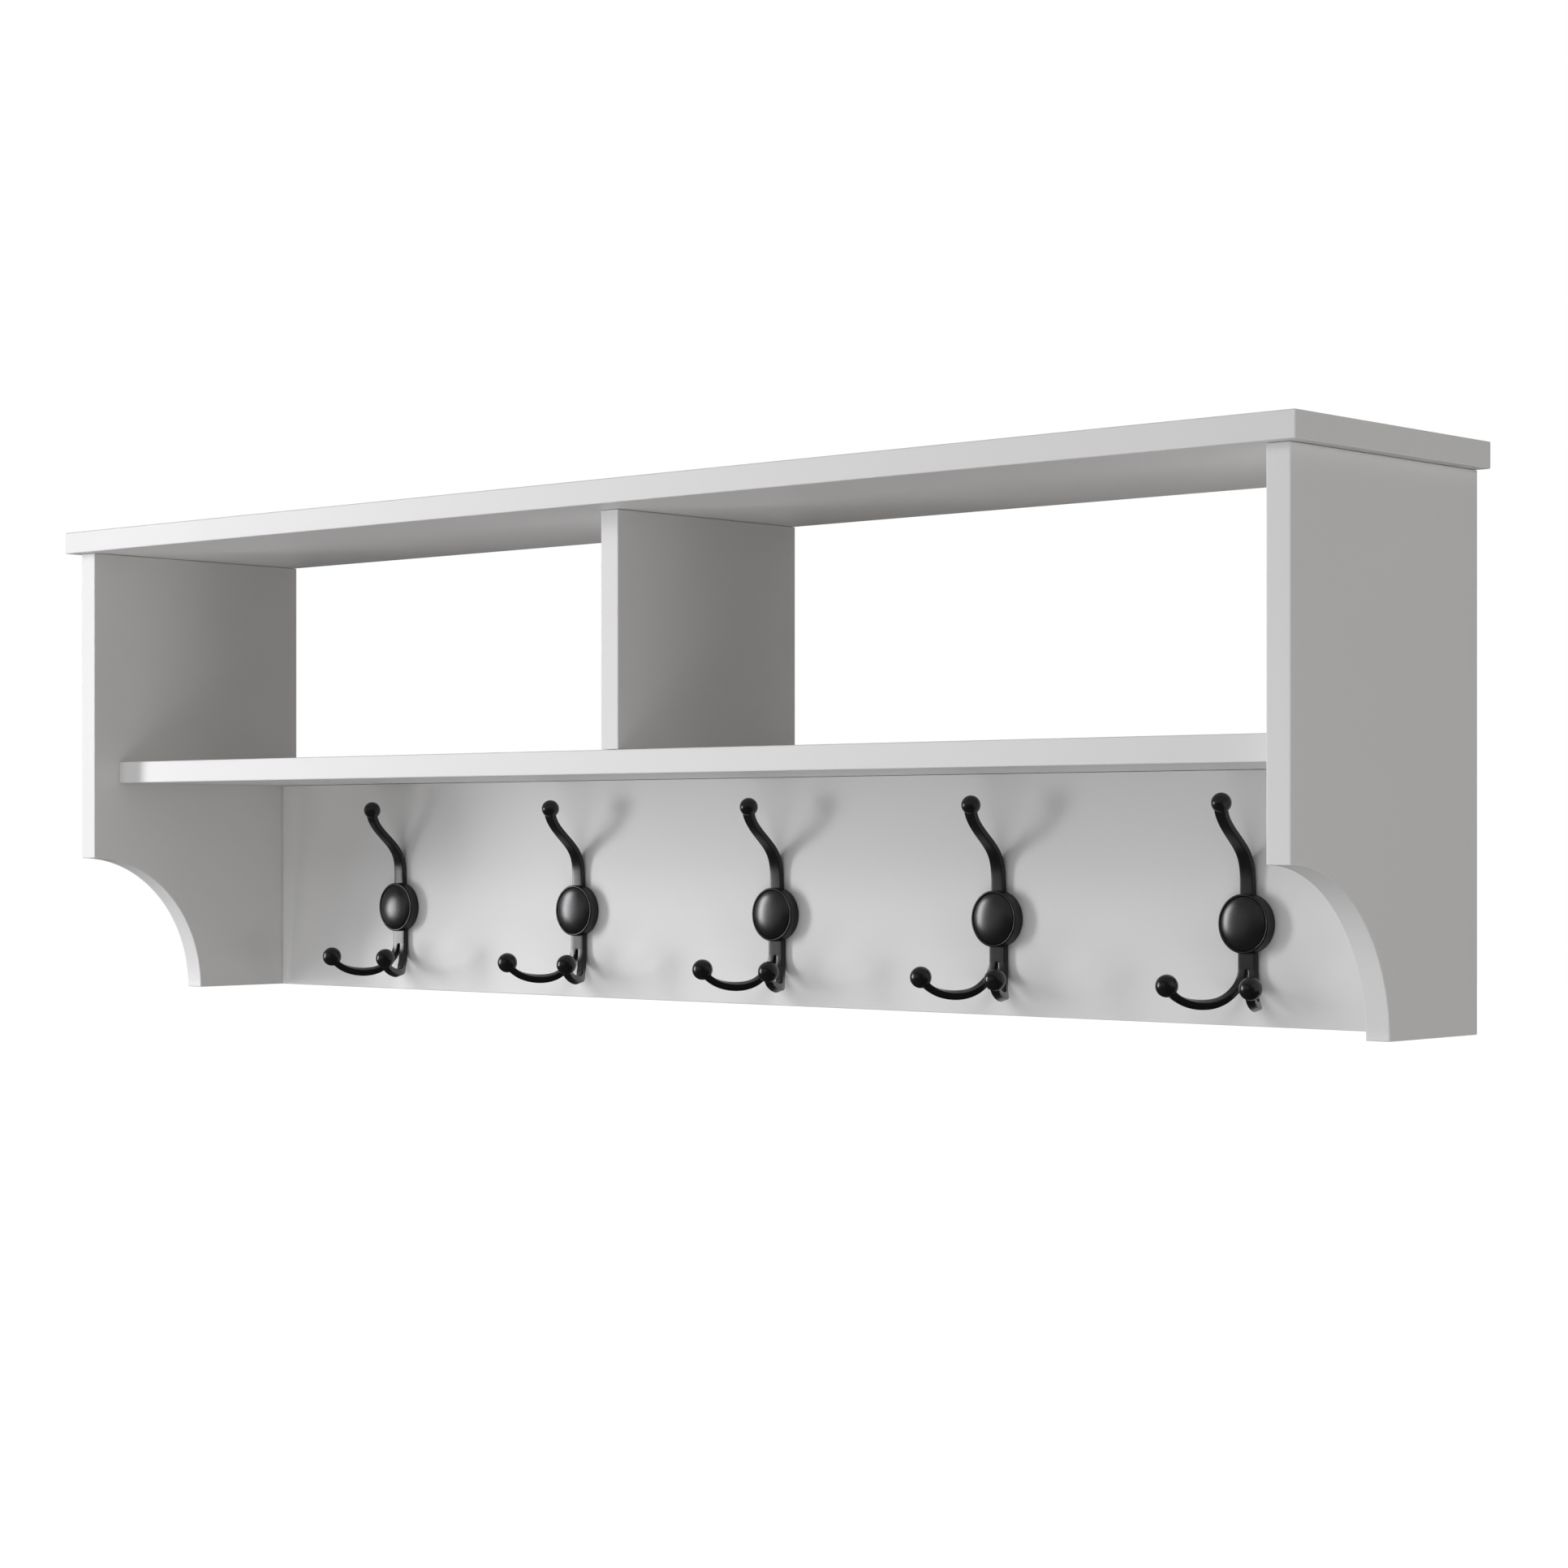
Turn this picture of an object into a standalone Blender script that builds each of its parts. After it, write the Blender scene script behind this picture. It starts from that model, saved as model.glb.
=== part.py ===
"""Wall hook rack: a painted shelf unit with two open cubbies above a panel of five triple coat hooks.

Metres, +Z up, +X to the right as seen from the room, +Y into the wall.
The origin is the middle of the top board's back edge, which rests on the wall.
Run with: blender --background --python part.py
"""

import math

import bmesh
import bpy
from mathutils import Matrix, Vector

# Boards
FIT_GAP = 0.0003  # left between two pieces that touch
BOARD = 0.018
PANEL_THICKNESS = 0.015
TOP_WIDTH = 1.2475
TOP_DEPTH = 0.232
TOP_OVERHANG = 0.010  # past the sides' outer faces and front edges
SIDE_HEIGHT = 0.374
SHELF_TOP_ABOVE_BASE = 0.196
SHELF_SETBACK = 0.0255  # from the sides' front edges
CUTOUT_RADIUS = 0.1135
CUTOUT_STEPS = 16
DIVIDER_SHIFT = -0.0013
PANEL_INSET = 0.0018  # behind the panel, room for the hanger plates
EDGE_EASING = 0.0008

# Hooks: y is measured out of the panel and z from the rose's centre
HOOK_COUNT = 5
HOOK_PITCH = 0.2196
HOOK_ROW_SHIFT = 0.0058
ROSE_ABOVE_BASE = 0.0711
ROSE_RADIUS = 0.0208
ROSE_DEPTH = 0.0088
ROSE_FLOOR = 0.0025
RIM_WIDTH = 0.0008
RIM_CHAMFER = 0.0010
CAP_RADIUS = 0.0186
CAP_WALL = 0.0013
CAP_EDGE_DEPTH = 0.0082
CAP_DOME = 0.0030
CAP_DOME_POWER = 2.4  # how square the dome's shoulder is
CAP_DOME_RINGS = (0, 0.4, 0.7, 0.9, 0.985)  # shares of the cap's radius
STEM_THICKNESS = 0.0042
BAR_CORNER = 0.0010
BAR_BACK = 0.0002
STEM_START = 0.0187  # inside the rose's wall, clear of its recess
STEM_END = 0.0335
LOWER_STEM_WIDTH = 0.0150
UPPER_ROOT_WIDTH = 0.0118
UPPER_NECK_WIDTH = 0.0082
UPPER_PRONG_THICKNESS = 0.0050
LOWER_PRONG_WIDTH = 0.0067
LOWER_PRONG_THICKNESS = 0.0056
LOWER_PRONG_BANK = math.radians(22)
UPPER_BALL_RADIUS = 0.0071
LOWER_BALL_RADIUS = 0.0080
# Control points of the prongs' centre lines, (x, y, z)
UPPER_PRONG = (
    (0.0, -0.0023, STEM_START),
    (0.0, -0.0023, 0.0500),
    (0.0, -0.0010, 0.0510),
    (0.0, -0.0400, 0.0668),
    (0.0, -0.0346, 0.0834),
)
LOWER_PRONG = (
    (0.0043, -0.0023, -0.0281),
    (0.0048, -0.0101, -0.0642),
    (0.0282, -0.0145, -0.0550),
    (0.0277, -0.0465, -0.0599),
    (0.0345, -0.0501, -0.0425),
)
PRONG_STEPS = 8
PRONG_SPREAD = 0.4  # share of a lower prong's length over which it leaves the stem's plane
ROSE_SEGMENTS = 24
BALL_SEGMENTS = 12
BALL_RINGS = 7

# Fixings
DOWEL_RADIUS = 0.0040
DOWEL_IN_FACE = 0.0120  # hole depth across a board's thickness
DOWEL_IN_END = 0.0200  # hole depth into a board's end
DOWEL_END_ROOM = 0.0010
DOWEL_EASING = 0.0008
DOWEL_SEGMENTS = 8
THREE_IN_DEPTH = (0.84, 0.5, 0.16)  # shares of a board's depth, from the wall
TWO_IN_DEPTH = (0.75, 0.25)
PANEL_DOWEL_HEIGHTS = (0.040, 0.140)  # above the base
PANEL_DOWEL_COLUMNS = (-0.75, -0.25, 0.25, 0.75)  # shares of the inside half-width
HOOK_SCREW_SPREAD = 0.0090  # each side of the rose's centre
HOOK_SCREW_RADIUS = 0.0020
HOOK_SCREW_HEAD_RADIUS = 0.0036
HOOK_SCREW_HEAD = 0.0022
HOOK_SCREW_LENGTH = 0.0140
HANGER_PITCH = 0.4064  # the usual spacing of wall studs
HANGER_SIZE = (0.0200, 0.0012, 0.0640)
HANGER_ABOVE_BASE = 0.1400
HANGER_SCREW_SPREAD = 0.0260
HANGER_SCREW_RADIUS = 0.0015
HANGER_SCREW_HEAD_RADIUS = 0.0030
HANGER_SCREW_HEAD = 0.0016
HANGER_SCREW_LENGTH = 0.0110
KEYHOLE_RADIUS = 0.0050
KEYHOLE_SLOT = (0.0050, 0.0120)  # width, height above the round hole's centre
HANGER_POCKET = (0.0140, 0.0080, 0.0320)
SCREW_TIP = 0.0030
SCREW_SEGMENTS = 10

# Places that follow from the sizes above
BASE_Z = -BOARD / 2 - SIDE_HEIGHT
TOP_UNDERSIDE = -BOARD / 2
SIDE_DEPTH = TOP_DEPTH - TOP_OVERHANG
OUTER_X = TOP_WIDTH / 2 - TOP_OVERHANG
INNER_X = OUTER_X - BOARD
SHELF_DEPTH = SIDE_DEPTH - SHELF_SETBACK
SHELF_TOP = BASE_Z + SHELF_TOP_ABOVE_BASE
SHELF_UNDERSIDE = SHELF_TOP - BOARD
PANEL_FRONT = -PANEL_INSET - PANEL_THICKNESS
PANEL_MIDDLE = -PANEL_INSET - PANEL_THICKNESS / 2

X_AXIS = Vector((1, 0, 0))
Y_AXIS = Vector((0, 1, 0))
Z_AXIS = Vector((0, 0, 1))


def clear_scene():
    for obj in list(bpy.data.objects):
        bpy.data.objects.remove(obj, do_unlink=True)


def make_material(name, colour, roughness, metallic):
    material = bpy.data.materials.new(name)
    material.use_nodes = True
    shader = material.node_tree.nodes["Principled BSDF"]
    shader.inputs["Base Color"].default_value = (*colour, 1.0)
    shader.inputs["Roughness"].default_value = roughness
    shader.inputs["Metallic"].default_value = metallic
    return material


def new_object(name, mesh, material=None, location=(0, 0, 0), parent=None):
    obj = bpy.data.objects.new(name, mesh)
    bpy.context.scene.collection.objects.link(obj)
    if material and not mesh.materials:
        mesh.materials.append(material)
    obj.location = location
    obj.parent = parent
    return obj


def mesh_from(name, bm):
    bmesh.ops.recalc_face_normals(bm, faces=bm.faces)
    mesh = bpy.data.meshes.new(name)
    bm.to_mesh(mesh)
    bm.free()
    return mesh


def smooth(mesh, angle=math.radians(35)):
    mesh.shade_smooth()
    mesh.set_sharp_from_angle(angle=angle)


def add_box(bm, low, high):
    low, high = Vector(low), Vector(high)
    size = Matrix.Diagonal((*(high - low), 1))
    bmesh.ops.create_cube(bm, size=1, matrix=Matrix.Translation((low + high) / 2) @ size)


def add_rod(bm, start, end, radius, end_radius=None, segments=DOWEL_SEGMENTS):
    start, end = Vector(start), Vector(end)
    turn = (end - start).to_track_quat("Z", "Y").to_matrix().to_4x4()
    bmesh.ops.create_cone(
        bm,
        cap_ends=True,
        segments=segments,
        radius1=radius,
        radius2=radius if end_radius is None else end_radius,
        depth=(end - start).length,
        matrix=Matrix.Translation((start + end) / 2) @ turn,
    )


def turned_mesh(name, profile, segments):
    """A closed solid turned about the Y axis from (radius, y) points that start and end on the axis."""
    bm = bmesh.new()
    points = [bm.verts.new((radius, y, 0)) for radius, y in profile]
    edges = [bm.edges.new(pair) for pair in zip(points, points[1:])]
    bmesh.ops.spin(
        bm,
        geom=points + edges,
        cent=(0, 0, 0),
        axis=(0, 1, 0),
        angle=2 * math.pi,
        steps=segments,
    )
    bmesh.ops.remove_doubles(bm, verts=bm.verts, dist=1e-6)
    mesh = mesh_from(name, bm)
    smooth(mesh)
    return mesh


def as_cutter(obj):
    obj.hide_render = True
    obj.display_type = "WIRE"
    return obj


def add_boolean(obj, other, operation):
    modifier = obj.modifiers.new(f"{operation.lower()} {other.name}", "BOOLEAN")
    modifier.operation = operation
    modifier.object = other


def add_bevel(obj, width, angle=math.radians(60)):
    modifier = obj.modifiers.new("Eased edges", "BEVEL")
    modifier.width = width
    modifier.segments = 1
    modifier.limit_method = "ANGLE"
    modifier.angle_limit = angle


def finished_mesh(obj, helpers):
    """The object's mesh with its modifiers applied; the object and its helpers are then removed."""
    graph = bpy.context.evaluated_depsgraph_get()
    mesh = bpy.data.meshes.new_from_object(obj.evaluated_get(graph))
    for used in [obj, *helpers]:
        bpy.data.objects.remove(used, do_unlink=True)
    return mesh


# Boards


def make_board(name, low, high, material):
    low, high = Vector(low), Vector(high)
    centre = (low + high) / 2
    bm = bmesh.new()
    add_box(bm, low - centre, high - centre)
    board = new_object(name, mesh_from(name, bm), material, centre)
    add_bevel(board, EDGE_EASING)
    return board


def make_side_panel(name, inner_x, outer_x, material):
    """A side with a quarter circle taken out of its lower front corner."""
    corner = Vector((inner_x, -SIDE_DEPTH, BASE_Z))
    top = TOP_UNDERSIDE - FIT_GAP
    bm = bmesh.new()
    outline = [bm.verts.new((inner_x, 0, BASE_Z))]
    for step in range(CUTOUT_STEPS + 1):
        angle = math.pi / 2 * step / CUTOUT_STEPS
        reach = Vector((0, math.cos(angle), math.sin(angle))) * CUTOUT_RADIUS
        outline.append(bm.verts.new(corner + reach))
    outline.append(bm.verts.new((inner_x, -SIDE_DEPTH, top)))
    outline.append(bm.verts.new((inner_x, 0, top)))
    face = bm.faces.new(outline)
    grown = bmesh.ops.extrude_face_region(bm, geom=[face])["geom"]
    moved = [item for item in grown if isinstance(item, bmesh.types.BMVert)]
    bmesh.ops.translate(bm, verts=moved, vec=(outer_x - inner_x, 0, 0))
    panel = new_object(name, mesh_from(name, bm), material)
    add_bevel(panel, EDGE_EASING)
    return panel


def make_boards(paint):
    shelf_x = INNER_X - FIT_GAP
    divider_half = BOARD / 2
    boards = {
        "top_board": make_board(
            "top_board",
            (-TOP_WIDTH / 2, -TOP_DEPTH, -BOARD / 2),
            (TOP_WIDTH / 2, 0, BOARD / 2),
            paint,
        ),
        "side_panel_left": make_side_panel("side_panel_left", -INNER_X, -OUTER_X, paint),
        "side_panel_right": make_side_panel("side_panel_right", INNER_X, OUTER_X, paint),
        "middle_shelf": make_board(
            "middle_shelf",
            (-shelf_x, -SHELF_DEPTH, SHELF_UNDERSIDE),
            (shelf_x, 0, SHELF_TOP),
            paint,
        ),
        "centre_divider": make_board(
            "centre_divider",
            (DIVIDER_SHIFT - divider_half, -SHELF_DEPTH, SHELF_TOP + FIT_GAP),
            (DIVIDER_SHIFT + divider_half, 0, TOP_UNDERSIDE - FIT_GAP),
            paint,
        ),
        "back_panel": make_board(
            "back_panel",
            (-shelf_x, PANEL_FRONT, BASE_Z),
            (shelf_x, -PANEL_INSET, SHELF_UNDERSIDE - FIT_GAP),
            paint,
        ),
    }
    return boards


# Dowels. bores gathers each board's holes, to be cut together at the end


def dowel_joint(name, point, axis, boards, depths, bores, material):
    """A dowel across a joint at point, from boards[0] along axis into boards[1], with its two blind holes."""
    point = Vector(point)
    radius = DOWEL_RADIUS + FIT_GAP
    bores[boards[0]].append((point - axis * depths[0], point + axis * FIT_GAP * 2, radius))
    bores[boards[1]].append((point - axis * FIT_GAP, point + axis * depths[1], radius))
    length = sum(depths) - 2 * DOWEL_END_ROOM
    bm = bmesh.new()
    add_rod(bm, -axis * length / 2, axis * length / 2, DOWEL_RADIUS)
    middle = point + axis * (depths[1] - depths[0]) / 2
    mesh = mesh_from(name, bm)
    smooth(mesh, math.radians(50))
    dowel = new_object(name, mesh, material, middle)
    add_bevel(dowel, DOWEL_EASING)


def make_dowels(bores, beech):
    face_to_end = (DOWEL_IN_FACE, DOWEL_IN_END)
    side_x = (INNER_X + OUTER_X) / 2
    shelf_middle = (SHELF_TOP + SHELF_UNDERSIDE) / 2
    for side, sign in (("left", -1), ("right", 1)):
        panel = f"side_panel_{side}"
        inward = -sign * X_AXIS
        for number, share in enumerate(THREE_IN_DEPTH, 1):
            dowel_joint(
                f"dowel_top_{side}_{number}",
                (sign * side_x, -SIDE_DEPTH * share, TOP_UNDERSIDE),
                -Z_AXIS,
                ("top_board", panel),
                face_to_end,
                bores,
                beech,
            )
            dowel_joint(
                f"dowel_shelf_{side}_{number}",
                (sign * INNER_X, -SHELF_DEPTH * share, shelf_middle),
                inward,
                (panel, "middle_shelf"),
                face_to_end,
                bores,
                beech,
            )
        for number, height in enumerate(PANEL_DOWEL_HEIGHTS, 1):
            dowel_joint(
                f"dowel_panel_{side}_{number}",
                (sign * INNER_X, PANEL_MIDDLE, BASE_Z + height),
                inward,
                (panel, "back_panel"),
                face_to_end,
                bores,
                beech,
            )
    for number, share in enumerate(TWO_IN_DEPTH, 1):
        dowel_joint(
            f"dowel_top_divider_{number}",
            (DIVIDER_SHIFT, -SHELF_DEPTH * share, TOP_UNDERSIDE),
            -Z_AXIS,
            ("top_board", "centre_divider"),
            face_to_end,
            bores,
            beech,
        )
        dowel_joint(
            f"dowel_shelf_divider_{number}",
            (DIVIDER_SHIFT, -SHELF_DEPTH * share, SHELF_TOP),
            Z_AXIS,
            ("middle_shelf", "centre_divider"),
            face_to_end,
            bores,
            beech,
        )
    for number, share in enumerate(PANEL_DOWEL_COLUMNS, 1):
        dowel_joint(
            f"dowel_shelf_panel_{number}",
            (INNER_X * share, PANEL_MIDDLE, SHELF_UNDERSIDE),
            -Z_AXIS,
            ("middle_shelf", "back_panel"),
            face_to_end,
            bores,
            beech,
        )


# Hooks


def bezier_point(controls, t):
    degree = len(controls) - 1
    point = Vector((0, 0, 0))
    for index, control in enumerate(controls):
        weight = math.comb(degree, index) * (1 - t) ** (degree - index) * t**index
        point += weight * Vector(control)
    return point


def add_bar(bm, rings):
    """A closed bar through rings of (centre, across, through, width, thickness), with chamfered corners."""
    loops = []
    for centre, across, through, width, thickness in rings:
        half_w = width / 2
        half_t = thickness / 2
        corner = BAR_CORNER
        outline = (
            (half_w, half_t - corner),
            (half_w - corner, half_t),
            (corner - half_w, half_t),
            (-half_w, half_t - corner),
            (-half_w, corner - half_t),
            (corner - half_w, -half_t),
            (half_w - corner, -half_t),
            (half_w, corner - half_t),
        )
        loops.append([bm.verts.new(centre + across * a + through * b) for a, b in outline])
    for near, far in zip(loops, loops[1:]):
        for side in range(len(near)):
            following = (side + 1) % len(near)
            bm.faces.new((near[side], near[following], far[following], far[side]))
    bm.faces.new(loops[0])
    bm.faces.new(loops[-1])


def prong_rings(controls, width_at, thickness_at, bank):
    """Rings along a Bezier centre line. A banked bar also turns from the stem's plane to face its own way."""
    rings = []
    for step in range(PRONG_STEPS + 1):
        t = step / PRONG_STEPS
        centre = bezier_point(controls, t)
        before = bezier_point(controls, max(t - 0.02, 0))
        after = bezier_point(controls, min(t + 0.02, 1))
        along = (after - before).normalized()
        across = X_AXIS.copy()
        if bank:
            level = Vector((-along.y, along.x, 0)).normalized()
            across = across.lerp(level, min(t / PRONG_SPREAD, 1)).normalized()
            across.rotate(Matrix.Rotation(bank * math.sin(math.pi * t), 3, along))
        through = along.cross(across)
        rings.append((centre, across, through, width_at(t), thickness_at(t)))
    return rings


def make_casting_mesh(material):
    """One cast hook: rose, stems, three prongs and their balls, as a single solid."""
    helpers = []

    def helper(name, bm):
        obj = as_cutter(new_object(name, mesh_from(name, bm)))
        helpers.append(obj)
        return obj

    rim_inner = ROSE_RADIUS - RIM_CHAMFER - RIM_WIDTH / 2
    recess = CAP_RADIUS + FIT_GAP
    profile = (
        (0, 0),
        (ROSE_RADIUS, 0),
        (ROSE_RADIUS, -ROSE_DEPTH + RIM_CHAMFER),
        (ROSE_RADIUS - RIM_CHAMFER, -ROSE_DEPTH),
        (rim_inner, -ROSE_DEPTH),
        (recess, -ROSE_DEPTH + RIM_CHAMFER),
        (recess, -ROSE_FLOOR),
        (0, -ROSE_FLOOR),
    )
    casting = new_object("casting", turned_mesh("casting", profile, ROSE_SEGMENTS), material)

    def bar(name, rings):
        bm = bmesh.new()
        add_bar(bm, rings)
        return helper(name, bm)

    middle_y = -BAR_BACK - STEM_THICKNESS / 2
    stem = [
        (Vector((0, middle_y, -height)), X_AXIS, Y_AXIS, LOWER_STEM_WIDTH, STEM_THICKNESS)
        for height in (STEM_START, STEM_END)
    ]
    narrowing = UPPER_NECK_WIDTH - UPPER_ROOT_WIDTH
    upper_thickening = UPPER_PRONG_THICKNESS - STEM_THICKNESS
    pieces = [
        bar("stem", stem),
        bar(
            "upper prong",
            prong_rings(
                UPPER_PRONG,
                lambda t: UPPER_ROOT_WIDTH + narrowing * t,
                lambda t: STEM_THICKNESS + upper_thickening * t,
                0,
            ),
        ),
    ]
    lower_thickening = LOWER_PRONG_THICKNESS - STEM_THICKNESS
    for side in (-1, 1):
        controls = [(side * x, y, z) for x, y, z in LOWER_PRONG]
        pieces.append(
            bar(
                f"lower prong {side}",
                prong_rings(
                    controls,
                    lambda t: LOWER_PRONG_WIDTH,
                    lambda t: STEM_THICKNESS + lower_thickening * t,
                    side * LOWER_PRONG_BANK,
                ),
            )
        )
    balls = [(UPPER_PRONG[-1], UPPER_BALL_RADIUS)]
    balls += [((side * LOWER_PRONG[-1][0], *LOWER_PRONG[-1][1:]), LOWER_BALL_RADIUS) for side in (-1, 1)]
    for number, (centre, radius) in enumerate(balls):
        bm = bmesh.new()
        bmesh.ops.create_uvsphere(
            bm,
            u_segments=BALL_SEGMENTS,
            v_segments=BALL_RINGS,
            radius=radius,
            matrix=Matrix.Translation(centre),
        )
        pieces.append(helper(f"ball {number}", bm))
    for piece in pieces:
        add_boolean(casting, piece, "UNION")
    bm = bmesh.new()
    for side in (-1, 1):
        hole_z = side * HOOK_SCREW_SPREAD
        add_rod(
            bm,
            (0, -ROSE_FLOOR - FIT_GAP * 3, hole_z),
            (0, FIT_GAP * 3, hole_z),
            HOOK_SCREW_RADIUS + FIT_GAP,
            segments=SCREW_SEGMENTS,
        )
    add_boolean(casting, helper("screw holes", bm), "DIFFERENCE")
    mesh = finished_mesh(casting, helpers)
    smooth(mesh)
    return mesh


def make_cap_mesh(material):
    """The domed cap: a shallow shell whose skirt slips into the rose."""
    edge = -CAP_EDGE_DEPTH
    skirt_end = -ROSE_FLOOR - FIT_GAP
    inner = CAP_RADIUS - CAP_WALL
    dome = [
        (CAP_RADIUS * share, edge - CAP_DOME * (1 - share**CAP_DOME_POWER))
        for share in CAP_DOME_RINGS
    ]
    hollow = edge + CAP_WALL
    profile = (
        (0, hollow),
        (inner, hollow),
        (inner, skirt_end),
        (CAP_RADIUS, skirt_end),
        (CAP_RADIUS, edge + CAP_WALL / 2),
        *reversed(dome),
    )
    mesh = turned_mesh("cap", profile, ROSE_SEGMENTS)
    mesh.materials.append(material)
    return mesh


def make_hook_screw_mesh(material):
    """A pan-head wood screw pointing into the panel, with its head's underside at y = 0."""
    profile = (
        (0, -HOOK_SCREW_HEAD),
        (HOOK_SCREW_HEAD_RADIUS * 0.7, -HOOK_SCREW_HEAD),
        (HOOK_SCREW_HEAD_RADIUS, -HOOK_SCREW_HEAD / 2),
        (HOOK_SCREW_HEAD_RADIUS, 0),
        (HOOK_SCREW_RADIUS, 0),
        (HOOK_SCREW_RADIUS, HOOK_SCREW_LENGTH - SCREW_TIP),
        (0, HOOK_SCREW_LENGTH),
    )
    mesh = turned_mesh("hook screw", profile, SCREW_SEGMENTS)
    mesh.materials.append(material)
    return mesh


def make_hooks(bores, black, black_cap, zinc):
    casting_mesh = make_casting_mesh(black)
    cap_mesh = make_cap_mesh(black_cap)
    screw_mesh = make_hook_screw_mesh(zinc)
    head_seat = -ROSE_FLOOR - FIT_GAP
    hole_depth = HOOK_SCREW_LENGTH - ROSE_FLOOR
    for number in range(1, HOOK_COUNT + 1):
        hook_x = HOOK_ROW_SHIFT + (number - (HOOK_COUNT + 1) / 2) * HOOK_PITCH
        seat = Vector((hook_x, PANEL_FRONT - FIT_GAP, BASE_Z + ROSE_ABOVE_BASE))
        axis = bpy.data.objects.new(f"hook_{number}_axis", None)
        bpy.context.scene.collection.objects.link(axis)
        axis.location = seat
        new_object(f"hook_{number}_casting", casting_mesh, parent=axis)
        new_object(f"hook_{number}_cap", cap_mesh, parent=axis)
        for place, side in (("upper", 1), ("lower", -1)):
            offset = Vector((0, head_seat, side * HOOK_SCREW_SPREAD))
            new_object(f"hook_{number}_screw_{place}", screw_mesh, location=offset, parent=axis)
            mouth = seat + Vector((0, 0, offset.z))
            bores["back_panel"].append(
                (mouth, mouth + Y_AXIS * hole_depth, HOOK_SCREW_RADIUS + FIT_GAP)
            )


# Wall hangers


def make_hanger_mesh(material):
    """A keyhole plate: a round hole, a slot above it and two countersunk screw holes."""
    width, thickness, height = HANGER_SIZE
    past = FIT_GAP * 2
    bm = bmesh.new()
    add_box(bm, (-width / 2, -thickness / 2, -height / 2), (width / 2, thickness / 2, height / 2))
    plate = new_object("hanger", mesh_from("hanger", bm), material)
    bm = bmesh.new()
    add_rod(bm, (0, -thickness, 0), (0, thickness, 0), KEYHOLE_RADIUS, segments=20)
    flare = HANGER_SCREW_HEAD_RADIUS / HANGER_SCREW_HEAD
    for side in (-1, 1):
        hole_z = side * HANGER_SCREW_SPREAD
        add_rod(
            bm,
            (0, -thickness / 2 - past, hole_z),
            (0, thickness / 2 + past, hole_z),
            HANGER_SCREW_HEAD_RADIUS + FIT_GAP - (thickness + past) * flare / 2,
            HANGER_SCREW_HEAD_RADIUS + FIT_GAP + past * flare,
            segments=SCREW_SEGMENTS,
        )
    round_holes = as_cutter(new_object("round holes", mesh_from("round holes", bm)))
    add_boolean(plate, round_holes, "DIFFERENCE")
    bm = bmesh.new()
    slot_width, slot_height = KEYHOLE_SLOT
    add_box(bm, (-slot_width / 2, -thickness, 0), (slot_width / 2, thickness, slot_height))
    slot = as_cutter(new_object("slot", mesh_from("slot", bm)))
    add_boolean(plate, slot, "DIFFERENCE")
    return finished_mesh(plate, [round_holes, slot])


def make_hanger_screw_mesh(material):
    """A countersunk wood screw pointing out of the wall, with its head's face at y = 0."""
    profile = (
        (0, -HANGER_SCREW_LENGTH),
        (HANGER_SCREW_RADIUS, -HANGER_SCREW_LENGTH + SCREW_TIP),
        (HANGER_SCREW_RADIUS, -HANGER_SCREW_HEAD),
        (HANGER_SCREW_HEAD_RADIUS, 0),
        (0, 0),
    )
    mesh = turned_mesh("hanger screw", profile, SCREW_SEGMENTS)
    mesh.materials.append(material)
    return mesh


def make_hangers(bores, pockets, steel, zinc):
    plate_mesh = make_hanger_mesh(steel)
    screw_mesh = make_hanger_screw_mesh(zinc)
    pocket_width, pocket_depth, pocket_height = HANGER_POCKET
    plate_y = -PANEL_INSET + FIT_GAP + HANGER_SIZE[1] / 2
    face_y = plate_y + HANGER_SIZE[1] / 2
    for place, column in (("left", -1), ("middle", 0), ("right", 1)):
        centre = Vector((column * HANGER_PITCH, plate_y, BASE_Z + HANGER_ABOVE_BASE))
        new_object(f"hanger_{place}", plate_mesh, location=centre)
        middle = Vector((centre.x, -PANEL_INSET, centre.z + KEYHOLE_SLOT[1] / 2))
        low = middle - Vector((pocket_width / 2, pocket_depth, pocket_height / 2))
        high = middle + Vector((pocket_width / 2, PANEL_INSET + FIT_GAP, pocket_height / 2))
        pockets.append((low, high))
        for end, side in (("upper", 1), ("lower", -1)):
            head = Vector((centre.x, face_y, centre.z + side * HANGER_SCREW_SPREAD))
            new_object(f"hanger_{place}_screw_{end}", screw_mesh, location=head)
            deep = HANGER_SCREW_LENGTH + FIT_GAP * 2
            mouth = Vector((head.x, FIT_GAP - PANEL_INSET, head.z))
            bores["back_panel"].append(
                (mouth, head - Y_AXIS * deep, HANGER_SCREW_RADIUS + FIT_GAP)
            )


# Holes


def cut_boards(boards, bores, pockets):
    """Cuts each board's dowel and screw holes, and the hanger pockets in the back panel."""
    for name, board in boards.items():
        bm = bmesh.new()
        for start, end, radius in bores[name]:
            add_rod(bm, start, end, radius)
        if name == "back_panel":
            for low, high in pockets:
                add_box(bm, low, high)
        cutter = as_cutter(new_object(f"{name} holes", mesh_from(f"{name} holes", bm)))
        add_boolean(board, cutter, "DIFFERENCE")


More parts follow.
